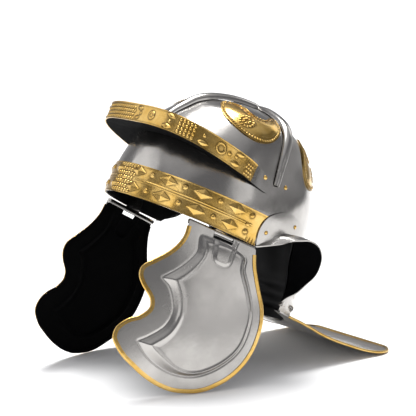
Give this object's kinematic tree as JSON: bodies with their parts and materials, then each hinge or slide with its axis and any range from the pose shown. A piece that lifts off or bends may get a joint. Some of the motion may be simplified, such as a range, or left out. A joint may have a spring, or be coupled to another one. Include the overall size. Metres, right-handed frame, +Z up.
{
  "type": "legionary helmet",
  "caption": "Roman infantry helmet in polished steel with brass trim: bowl, peak, crown braces, flared ear guards, broad neck guard and two hinged cheek guards.",
  "frame": {"origin": "centre of the footprint, on the floor the helmet rests on", "axes": "+Z up, the helmet faces -Y, +X is the wearer's left"},
  "size_m": [0.255, 0.4008, 0.3192],
  "materials": {
    "polished_steel": "polished, with fine wear scratches",
    "polished_brass": "polished, embossed"
  },
  "bodies": {
    "helmet": {"band_rivet_front": "polished_brass", "band_rivet_left": "polished_brass", "band_rivet_right": "polished_brass", "brace_rivet_left": "polished_brass", "brace_rivet_rear": "polished_brass", "brace_rivet_right": "polished_brass", "brow_band": "polished_brass", "crown_brace": "polished_steel", "crown_plaque_front_left": "polished_brass", "crown_plaque_front_right": "polished_brass", "crown_plaque_rear_left": "polished_brass", "crown_plaque_rear_right": "polished_brass", "ear_guard_left": "polished_steel", "ear_guard_right": "polished_steel", "ear_rivet_front_left": "polished_brass", "ear_rivet_front_right": "polished_brass", "ear_rivet_rear_left": "polished_brass", "ear_rivet_rear_right": "polished_brass", "hinge_pin_left": "polished_steel", "hinge_pin_right": "polished_steel", "hinge_strap_left": "polished_steel", "hinge_strap_right": "polished_steel", "neck_guard": "polished_steel", "neck_guard_edging": "polished_brass", "peak": "polished_steel", "peak_rivet_left": "polished_brass", "peak_rivet_right": "polished_brass", "peak_strip": "polished_brass", "skull_bowl": "polished_steel"},
    "cheek_guard_left_body": {"cheek_guard_left": "polished_steel", "cheek_edging_left": "polished_brass"},
    "cheek_guard_right_body": {"cheek_guard_right": "polished_steel", "cheek_edging_right": "polished_brass"}
  },
  "joints": [
    {"name": "cheek_left_hinge", "type": "hinge", "parent": "helmet", "child": "cheek_guard_left_body", "pos_m": [0.0849, -0.10017, 0.18981], "axis": [-0.2563, -0.8634, 0.4346], "range_deg": [-20, 80]},
    {"name": "cheek_right_hinge", "type": "hinge", "parent": "helmet", "child": "cheek_guard_right_body", "pos_m": [-0.0849, -0.10017, 0.18981], "axis": [-0.2563, 0.8634, -0.4346], "range_deg": [-20, 80]}
  ]
}
